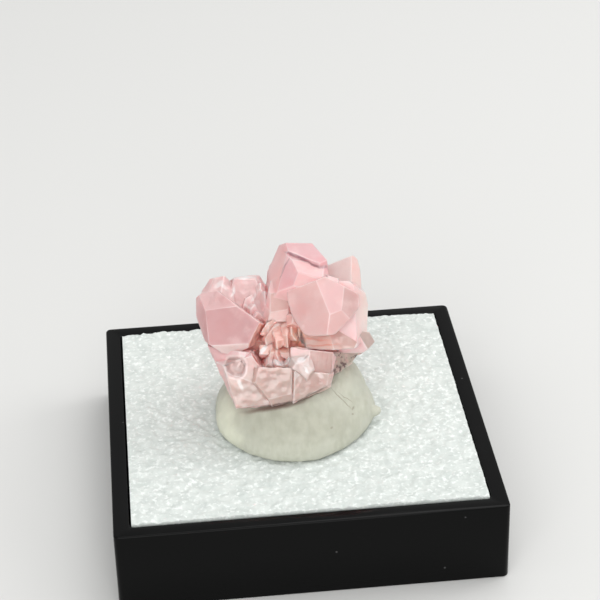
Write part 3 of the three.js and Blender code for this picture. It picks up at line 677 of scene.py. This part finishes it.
# %% The crystals: rock grains, clouds, painted glints on the faces, and worn and lit edges
rock = use(tree, zone, Place=ROCK_PLACE, Size=ROCK_SIZE, Soft=0.25, Snap=SNAP)
for grain, colour in ((0.55 * MM, rgb(214, 190, 180)), (0.4 * MM, rgb(104, 78, 76))):
    grains = use(tree, mottle, Grain=grain, Low=0.5, High=0.62)
    body = mix_colours(tree, maths(tree, "MULTIPLY", grains, rock), body, colour)
DEEP_SHARE, MILKY_SHARE = 0.4, 0.35
depths = use(tree, mottle, Grain=2.0 * MM, Low=0.4, High=0.8)
deep = maths(tree, "MULTIPLY", depths, DEEP_SHARE)
body = mix_colours(tree, deep, body, rgb(246, 205, 205), "MULTIPLY")
clouds = use(tree, mottle, Grain=1.3 * MM, Low=0.48, High=0.8)
milky = maths(tree, "MULTIPLY", clouds, MILKY_SHARE)
body = mix_colours(tree, milky, body, rgb(255, 240, 236))
# painted glints: each face gets its own share of a pale tint, standing in for how it catches the light
facets = add(tree, "ShaderNodeAttribute", {"attribute_name": "facet"}).outputs["Vector"]
scaled_up = add(tree, "ShaderNodeVectorMath", {"operation": "SCALE"}, i0=facets, Scale=1 / MM).outputs[0]
chance = add(tree, "ShaderNodeTexWhiteNoise", Vector=scaled_up).outputs["Value"]
glint = add(tree, "ShaderNodeMapRange", Value=chance, From_Min=0.3, To_Max=0.1).outputs[0]
body = mix_colours(tree, glint, body, rgb(255, 238, 235))
# pale edges: wear on the ridges, and a painted highlight along them
ridges = add(tree, "ShaderNodeAttribute", {"attribute_name": "ridge"}).outputs["Fac"]
breaks = add(tree, "ShaderNodeMapRange", Value=veils, To_Min=0.12, To_Max=0.45).outputs[0]
worn_and_lit_edges = maths(tree, "MULTIPLY", ridges, breaks)
tree.links.new(mix_colours(tree, worn_and_lit_edges, body, rgb(255, 248, 247)), shader.inputs["Base Color"])
print("crystals' colour:", len(tree.nodes), "nodes")

# %% [markdown]
# ## Calcite: frosted and polished faces over a clear body
# The large faces are frosted by etching, so they have a broad sheen. The small crystals and broken faces are
# polished, and a clear coat on them gives the sharp flashes. Under both, light is let in by transmission,
# bent by calcite's IOR of 1.6 and absorbed on its way through the body.

# %% The crystals: gloss, clear body and absorption
GLASSY_ROUGHNESS, GLASSY_COAT = 0.28, 0.65
etched = use(tree, mottle, Grain=0.6 * MM, Low=0.35, High=0.7)
frosted = add(tree, "ShaderNodeMapRange", Value=etched, To_Min=0.45, To_Max=0.55).outputs[0]
polish = add(tree, "ShaderNodeMapRange", Value=etched, To_Min=0.3, To_Max=0.1).outputs[0]
for centre, half, _ in ROUGH_PLACES:
    glassy = use(tree, zone, Place=centre, Size=half, Soft=0.25)
    frosted = mix_values(tree, glassy, frosted, GLASSY_ROUGHNESS)
    polish = mix_values(tree, glassy, polish, GLASSY_COAT)
tree.links.new(frosted, shader.inputs["Roughness"])
tree.links.new(polish, shader.inputs["Coat Weight"])
set_shader(shader, Coat_Roughness=0.04, Coat_IOR=1.6, IOR=1.6, Specular_IOR_Level=0.5,
           Transmission_Weight=0.36, Subsurface_Weight=1.0, Subsurface_Radius=(1, 0.8, 0.8),
           Subsurface_Scale=0.8 * MM)
bump = add(tree, "ShaderNodeBump", Height=etched, Strength=0.1, Distance=0.03 * MM)
tree.links.new(bump.outputs[0], shader.inputs["Normal"])
absorption = add(tree, "ShaderNodeVolumeAbsorption", Color=(1.0, 0.6, 0.62, 1), Density=150.0)
tree.links.new(absorption.outputs[0], tree.nodes["Material Output"].inputs["Volume"])
give(cluster, pink)

# %% [markdown]
# ## Putting the pieces on the solids
# Each piece stands for one solid and moves with the whole specimen, which has no moving part.

# %% Ride and replace
PIECES = (
    (box, "box_base", "box_plastic"),
    (foam, "foam_insert", "foam"),
    (putty, "mounting_putty", "putty"),
    (cluster, "calcite_cluster", "calcite"),
)
for piece, node, slot in PIECES:
    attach(piece, "root")
    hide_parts(node)
    print(piece.name, "stands for", node)

# %% [markdown]
# ## Floor, light and camera
# A plain pale floor and broad soft lamps, as on a photographer's table. The camera looks down at about thirty
# degrees from just left of the front, leaning a little, with a long lens, because the photograph was taken
# that way.

# %% The floor
bpy.ops.object.select_all(action="DESELECT")
bpy.ops.mesh.primitive_circle_add(vertices=96, radius=1.5, fill_type="NGON", location=(0, 0, 0))
floor = bpy.context.object
floor.name = "pale_floor"
paper, tree, shader = new_finish("pale_paper")
set_shader(shader, Base_Color=rgb(208, 208, 206), Roughness=0.9)
give(floor, paper)

# %% The light
LAMP_AIM = Vector((0, 0, 12)) * MM

world = bpy.data.worlds.new("soft_room")
bpy.context.scene.world = world
world.use_nodes = True
set_shader(world.node_tree.nodes["Background"], Color=(1.0, 1.0, 1.0, 1), Strength=0.6)


def lamp(name, where, wide, power):
    """A square soft lamp that looks at the specimen. Metres and watts."""
    bpy.ops.object.light_add(type="AREA", location=where)
    made = bpy.context.object
    made.name = name
    made.data.shape = "SQUARE"
    made.data.size = wide
    made.data.energy = power
    made.rotation_euler = (LAMP_AIM - Vector(where)).to_track_quat("-Z", "Y").to_euler()


lamp("overhead_lamp", (0.08, 0.09, 0.32), 0.3, 0.55)
lamp("front_lamp", (-0.08, -0.34, 0.2), 0.36, 1.1)
lamp("right_lamp", (0.28, 0.04, 0.18), 0.2, 0.28)

# %% The camera
VIEW_TURN, VIEW_RISE, VIEW_LEAN = math.radians(-5), math.radians(30.7), math.radians(-1.6)
VIEW_DISTANCE = 172 * MM
VIEW_SLIDE = Vector((0.516, 9.46, 0)) * MM
VIEW_AIM = Vector((0, 0, 7.25)) * MM
viewed = face_to_viewer(VIEW_TURN, VIEW_RISE, VIEW_LEAN)
stand = VIEW_AIM + viewed @ (VIEW_SLIDE + Vector((0, 0, VIEW_DISTANCE)))
bpy.ops.object.camera_add()
camera = bpy.context.object
camera.name = "photo_camera"
camera.data.lens = 120
camera.data.sensor_width = 36
camera.data.clip_start = 0.005
camera.matrix_world = Matrix.Translation(stand) @ viewed.to_4x4()
scene = bpy.context.scene
scene.camera = camera
scene.view_settings.view_transform = "Standard"
scene.cycles.use_denoising = True
scene.cycles.sample_clamp_indirect = 10.0
scene.cycles.max_bounces = 16
scene.cycles.diffuse_bounces = 10
scene.cycles.transmission_bounces = 16
print("camera at", [round(c / MM, 1) for c in camera.matrix_world.translation], "mm")
